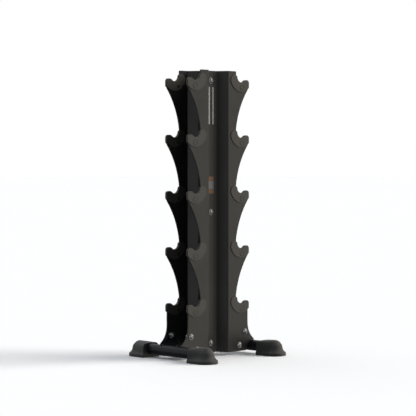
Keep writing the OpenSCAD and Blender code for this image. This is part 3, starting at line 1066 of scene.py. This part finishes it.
@dataclass
class Base:
    """Base tubes, the gussets behind the wings and the beads that weld them together."""

    finishes: Finishes
    wall: float = 2.5 * MM
    edge: float = 0.5 * MM
    gusset_edge: float = 0.7 * MM
    bead_r: float = 2.7 * MM
    ripple: float = 0.14
    ripple_pitch: float = 2.6 * MM
    bead_from: float = 78.0
    bead_to: float = 206.0
    bead_rows: int = 160

    def build(self) -> None:
        """Makes the tubes and beads and dresses the gussets."""
        for side in SIDES:
            self.tube(side)
            for end in ENDS:
                dress_node(f"gusset_{end}_{side}", self.finishes.base, self.gusset_edge)
                self.bead(end, side)

    def tube(self, side: str) -> None:
        """Turns a tube: outer wall, chamfered ends and bore, closed on itself.

        Args:
            side: Left or right.
        """
        box = node_box(f"base_tube_{side}")
        outer, inner, length, c = box.size[0] / 2, box.size[0] / 2 - self.wall, box.size[1], self.edge
        profile = np.array([(inner, 0), (outer - c, 0), (outer, c), (outer, length - c),
                            (outer - c, length), (inner, length)])
        surface = Surface()
        at = box.centred_at(box.low[1])
        surface.add(facing(turned(profile, 64), at, 1.0), closed_rows=True, closed_columns=True)
        finish_piece(surface.piece(f"painted_tube_{side}"), Slot.BASE_PAINT, self.finishes.base,
                     f"base_tube_{side}")

    def bead(self, end: str, side: str) -> None:
        """Lays a rippled weld bead where a gusset meets its tube.

        The bead follows a circle round the tube in the gusset's inner plane; its radius is
        bead_r * (1 + ripple * rising saw) and tapers to nothing at both ends.

        Args:
            end: Front or rear.
            side: Left or right.
        """
        tube, plate = node_box(f"base_tube_{side}"), node_box(f"gusset_{end}_{side}")
        inner = plate.high[1] if end == "front" else plate.low[1]
        sign = 1.0 if side == "right" else -1.0
        turn = np.radians(np.linspace(self.bead_from, self.bead_to, self.bead_rows))
        out = np.stack([sign * np.cos(turn), 0 * turn, np.sin(turn)], axis=1)
        round_r = tube.size[0] / 2 + 0.3 * self.bead_r
        path = tube.centred_at(inner) + round_r * out
        length = round_r * (turn - turn[0])
        saw = (length / self.ripple_pitch) % 1.0
        ends = np.minimum(1, np.minimum(length, length[-1] - length) / self.bead_r)
        radii = self.bead_r * (1 + self.ripple * (saw - 0.5)) * np.sqrt(1 - (1 - ends) ** 2)
        surface = Surface()
        surface.add(swept(path, out, np.array([[0.0, 1.0, 0.0]]) + 0 * out, radii, 14), closed_columns=True)
        finish_piece(surface.piece(f"weld_bead_{end}_{side}", 60), Slot.BASE_PAINT, self.finishes.weld)


@dataclass
class Fasteners:
    """Round-headed bolts, locking nuts and washers."""

    finishes: Finishes
    shank_r: float = 5 * MM
    thread_pitch: float = 1.5 * MM
    thread_depth: float = 0.45 * MM
    thread_length: float = 15 * MM
    head_height: float = 6 * MM
    head_rim: float = 1 * MM
    socket_half: float = 3.0 * MM
    socket_depth: float = 3.5 * MM
    socket_rim: float = 0.45 * MM
    end_chamfer: float = 0.8 * MM
    nut_height: float = 8 * MM
    collar_height: float = 2 * MM
    collar_r: float = 7 * MM
    nut_bore_r: float = 5.1 * MM
    washer_edge: float = 0.5 * MM
    steps: int = 48

    def build(self) -> None:
        """Makes every group of fasteners."""
        self.bolts("wing_bolts", "button_bolts_wings")
        self.bolts("column_bolts", "button_bolts_column")
        self.nuts("wing_nuts", "locking_nuts_wings")
        self.nuts("column_nuts", "locking_nuts_column")
        self.washers()

    def bolts(self, node: str, name: str) -> None:
        """Makes the bolts of a node.

        Args:
            node: The node they stand for.
            name: Name of the piece.
        """
        surface = Surface()
        for box in solid_boxes(node):
            sign = self.head_side(box, node)
            tip = box.high[1] if sign > 0 else box.low[1]
            at = box.centred_at(tip - sign * self.head_height)
            head_r = box.size[0] / 2
            grip = box.size[1] - self.head_height
            surface.add(facing(self.bolt(head_r, grip), at, sign), closed_columns=True)
        finish_piece(surface.piece(name), Slot.ZINC, self.finishes.zinc, node)

    def head_side(self, box: Box, node: str) -> float:
        """Which way a bolt's head faces: wing bolts away from the middle, column bolts forward.

        Args:
            box: Box of the bolt.
            node: The node it is in.

        Returns:
            1 for the rear, -1 for the front.
        """
        return -1.0 if node == "column_bolts" or box.middle[1] < 0 else 1.0

    def bolt(self, head_r: float, grip: float) -> np.ndarray:
        """Grid of a bolt from its socket's floor over the dome and down the shank to its end.

        The dome is a circle through the crown and the rim. The thread's radius is
        shank_r - depth * |2 * frac(h / pitch + t / turn) - 1|, a true helix.

        Args:
            head_r: Radius of the head.
            grip: Length under the head.

        Returns:
            Points, rows x steps x 3; the head stands on 0 and faces +Z.
        """
        full = np.ones(self.steps)
        cap_h = self.head_height - self.head_rim
        cap_r = (cap_h ** 2 + head_r ** 2) / (2 * cap_h)
        socket = hexagon(self.socket_half, self.steps)
        mouth_r = self.socket_half / math.cos(math.pi / 6) + self.socket_rim

        def crown(radius: float) -> float:
            """Height of the dome: head - cap_r + square root of (cap_r ** 2 - radius ** 2)."""
            return self.head_height - cap_r + math.sqrt(cap_r ** 2 - radius ** 2)

        floor_z = self.head_height - self.socket_depth
        rows = [(0 * full, floor_z - 0.5 * MM), (0.6 * socket, floor_z - 0.25 * MM), (socket, floor_z),
                (socket, crown(mouth_r) - 0.35 * MM)]
        rows += [(mouth_r * full, crown(mouth_r))]
        rows += [(r * full, crown(r)) for r in np.linspace(mouth_r, head_r, 12)[1:]]
        rows += [(head_r * full, 0.3 * MM), ((head_r - 0.3 * MM) * full, 0.0), (self.shank_r * full, 0.0)]
        threads = np.arange(0, self.thread_length, self.thread_pitch / 6)
        heights = np.concatenate([[-grip + self.thread_length], -grip + self.thread_length - threads[1:]])
        around = np.arange(self.steps) / self.steps
        saw = np.abs(2 * ((heights[:, None] / self.thread_pitch + around) % 1.0) - 1)
        end_cut = np.clip((heights + grip) / self.end_chamfer, 0, 1)[:, None]
        start_cut = np.clip((-grip + self.thread_length - heights) / self.thread_pitch, 0, 1)[:, None]
        deep = self.shank_r - self.thread_depth * (saw * start_cut)
        deep = np.minimum(deep, self.shank_r - self.end_chamfer * (1 - end_cut))
        radii = np.concatenate([np.stack([r for r, _ in rows]), deep,
                                ((self.shank_r - self.end_chamfer) * full)[None], (0 * full)[None]])
        levels = np.concatenate([[h for _, h in rows], heights, [-grip, -grip]])
        return shaped(radii, levels)

    def nuts(self, node: str, name: str) -> None:
        """Makes the nuts of a node and the nylon ring in each collar.

        Args:
            node: The node they stand for.
            name: Name of the steel piece.
        """
        steel, rings = Surface(), Surface()
        for box in solid_boxes(node):
            sign = 1.0 if node == "column_nuts" or box.middle[1] < 0 else -1.0
            start = box.low[1] if sign > 0 else box.high[1]
            at = box.centred_at(start)
            apothem = box.size[2] / 2 if box.size[2] < box.size[0] else box.size[0] / 2
            steel.add(facing(self.nut(apothem), at, sign), closed_rows=True, closed_columns=True)
            rings.add(facing(self.ring(), at, sign), closed_rows=True, closed_columns=True)
        finish_piece(steel.piece(name), Slot.ZINC, self.finishes.zinc, node)
        finish_piece(rings.piece(f"nylon_rings_{node}"), Slot.ZINC, self.finishes.nylon)

    def nut(self, apothem: float) -> np.ndarray:
        """Grid of a hexagon nut: each radius is the smaller of the hexagon and a 30 degree cone.

        Args:
            apothem: Half of the size across flats.

        Returns:
            Points, rows x steps x 3; the nut stands on 0, its collar points to +Z.
        """
        corner = apothem / math.cos(math.pi / 6)
        hexagonal = hexagon(apothem, self.steps)
        levels = np.array([0, 0.25, 0.5, 0.8, 1.15, 6.85, 7.2, 7.5, 7.75, 8.0]) * self.nut_height / 8
        nearest = np.minimum(levels, self.nut_height - levels)
        cone = apothem - 0.2 * MM + nearest / math.tan(math.radians(30))
        outer = np.minimum(hexagonal[None], np.minimum(cone, corner)[:, None])
        full = np.ones(self.steps)
        top = self.nut_height + self.collar_height
        collar = rounded([(self.collar_r + 0.6 * MM, self.nut_height, 0),
                          (self.collar_r, self.nut_height, 0.5 * MM), (self.collar_r, top, 0.9 * MM),
                          (self.nut_bore_r + 1.0 * MM, top, 0.2 * MM),
                          (self.nut_bore_r + 1.0 * MM, top - 0.8 * MM, 0),
                          (self.nut_bore_r, top - 0.8 * MM, 0)], 3)
        inner = [(self.nut_bore_r, 0.5 * MM), (self.nut_bore_r + 0.5 * MM, 0.0)]
        radii = np.concatenate([outer, collar[:, :1] * full, np.array([[r] for r, _ in inner]) * full])
        heights = np.concatenate([levels, collar[:, 1], [h for _, h in inner]])
        return shaped(radii, heights)

    def ring(self) -> np.ndarray:
        """Grid of the nylon ring inside a nut's collar."""
        top = self.nut_height + self.collar_height
        inner, outer = self.nut_bore_r - 0.05 * MM, self.nut_bore_r + 0.98 * MM
        profile = np.array([(inner, top - 0.75 * MM), (outer, top - 0.75 * MM), (outer, top - 0.3 * MM),
                            (inner + 0.3 * MM, top - 0.2 * MM), (inner, top - 0.35 * MM)])
        return turned(profile, self.steps)

    def washers(self) -> None:
        """Turns every washer with rounded outer edges."""
        surface = Surface()
        for box in solid_boxes("washers"):
            outer, thick, c = box.size[0] / 2, box.size[1], self.washer_edge
            bore = self.shank_r + 0.2 * MM
            profile = np.array([(bore, c / 2), (bore + c / 2, 0), (outer - c, 0),
                                (outer - 0.3 * c, 0.3 * c), (outer, c), (outer, thick - c),
                                (outer - 0.3 * c, thick - 0.3 * c), (outer - c, thick),
                                (bore + c / 2, thick), (bore, thick - c / 2)])
            at = box.centred_at(box.low[1])
            surface.add(facing(turned(profile, self.steps), at, 1.0), closed_rows=True, closed_columns=True)
        finish_piece(surface.piece("flat_washers"), Slot.ZINC, self.finishes.zinc, "washers")


@dataclass
class Stickers:
    """The pair of stripes and the plain banded label on the front web."""

    finishes: Finishes

    def build(self) -> None:
        """Dresses both stickers."""
        dress_node("stripe_sticker", self.finishes.stripe)
        dress_node("plain_label", self.finishes.label)


# ---------- studio ----------


@dataclass(frozen=True)
class SoftLight:
    """A large soft light, far away, in a direction seen from the rack."""

    name: str
    azimuth: float
    elevation: float
    strength: float
    colour: Colour
    spread: float
    lights: bool = True
    mirrored: bool = True

    def build(self) -> None:
        """Adds the light; it can be kept out of diffuse light or out of reflections."""
        lamp = bpy.data.lights.new(self.name, "SUN")
        lamp.energy = self.strength
        lamp.color = self.colour
        lamp.angle = math.radians(self.spread)
        made = bpy.data.objects.new(self.name, lamp)
        made.rotation_euler = (math.radians(90 - self.elevation), 0, math.radians(self.azimuth))
        made.visible_diffuse, made.visible_glossy = self.lights, self.mirrored
        bpy.context.scene.collection.objects.link(made)


@dataclass(frozen=True)
class Studio:
    """Camera, pale floor and soft light."""

    camera_at: tuple[float, float, float] = (-4.3726, -4.3751, 0.7272)
    camera_heading: float = -45.0
    camera_dip: float = 1.557
    lens: float = 141.7
    sensor: float = 36.0
    floor_half: float = 60.0
    floor_glow: float = 0.05
    floor_paint: Colour = (0.95, 0.975, 1.0)
    far_clip: float = 500.0
    fill_colour: Colour = (0.9, 0.95, 1.0)
    fill_strength: float = 0.07
    lights: tuple[SoftLight, ...] = (
        SoftLight("key_light", 52, 24, 3.9, (1.0, 0.955, 0.90), 42, mirrored=False),
        SoftLight("cool_light", -90, 18, 0.35, (0.78, 0.89, 1.0), 70, mirrored=False),
        SoftLight("top_light", 170, 66, 1.35, (0.99, 0.99, 1.0), 70, mirrored=False),
        SoftLight("warm_panel", 45, 12, 1.0, (1.0, 0.955, 0.85), 100, lights=False),
        SoftLight("grey_panel", -80, 10, 0.40, (1.0, 1.0, 0.98), 90, lights=False),
        SoftLight("left_strip", -135, 2, 0.035, (0.95, 0.97, 1.0), 16, lights=False),
        SoftLight("rear_panel", 170, 20, 0.8, (1.0, 0.99, 0.97), 100, lights=False),
    )

    def build(self) -> None:
        """Sets up the stage."""
        self.camera()
        self.floor()
        self.world()
        for light in self.lights:
            light.build()
        bpy.context.scene.view_settings.view_transform = "Standard"

    def camera(self) -> None:
        """Adds the camera and makes it the scene's."""
        data = bpy.data.cameras.new("camera")
        data.lens, data.sensor_width = self.lens, self.sensor
        data.clip_end = self.far_clip
        made = bpy.data.objects.new("camera", data)
        made.location = self.camera_at
        made.rotation_euler = (math.radians(90 - self.camera_dip), 0, math.radians(self.camera_heading))
        bpy.context.scene.collection.objects.link(made)
        bpy.context.scene.camera = made

    def floor(self) -> None:
        """Adds the pale floor: matt paint with a faint glow, kept out of light and reflections."""
        mesh = bpy.data.meshes.new("floor")
        h = self.floor_half
        mesh.from_pydata([(-h, -h, 0), (h, -h, 0), (h, h, 0), (-h, h, 0)], [], [(0, 1, 2, 3)])
        made = bpy.data.objects.new("floor", mesh)
        material = bpy.data.materials.new("pale_floor")
        material.use_nodes = True
        shader = material.node_tree.nodes["Principled BSDF"]
        shader.inputs["Base Color"].default_value = (*self.floor_paint, 1.0)
        shader.inputs["Roughness"].default_value = 1.0
        shader.inputs["Specular IOR Level"].default_value = 0.0
        shader.inputs["Emission Color"].default_value = (1.0, 1.0, 1.0, 1.0)
        shader.inputs["Emission Strength"].default_value = self.floor_glow
        mesh.materials.append(material)
        made.visible_diffuse = False
        made.visible_glossy = False
        bpy.context.scene.collection.objects.link(made)

    def world(self) -> None:
        """White behind the rack, and a dim even light on it."""
        world = bpy.data.worlds.new("studio")
        bpy.context.scene.world = world
        world.use_nodes = True
        tree = world.node_tree
        dim = tree.nodes["Background"]
        dim.inputs["Color"].default_value = (*self.fill_colour, 1.0)
        dim.inputs["Strength"].default_value = self.fill_strength
        white = add_node(tree, "ShaderNodeBackground", {"Color": (1, 1, 1, 1), "Strength": 1.0})
        path = add_node(tree, "ShaderNodeLightPath")
        mix = add_node(tree, "ShaderNodeMixShader", {0: path.outputs["Is Camera Ray"],
                                                     1: dim.outputs[0], 2: white.outputs[0]})
        tree.links.new(mix.outputs[0], tree.nodes["World Output"].inputs[0])


def main() -> None:
    """Builds the rack's looks and the studio."""
    logging.basicConfig(level=logging.INFO, format="%(name)s: %(message)s")
    finishes = Finishes.build()
    Studio().build()
    for assembly in (Uprights, Saddles, Base, Feet, Fasteners, Stickers):
        assembly(finishes).build()


if __name__ == "__main__":
    main()
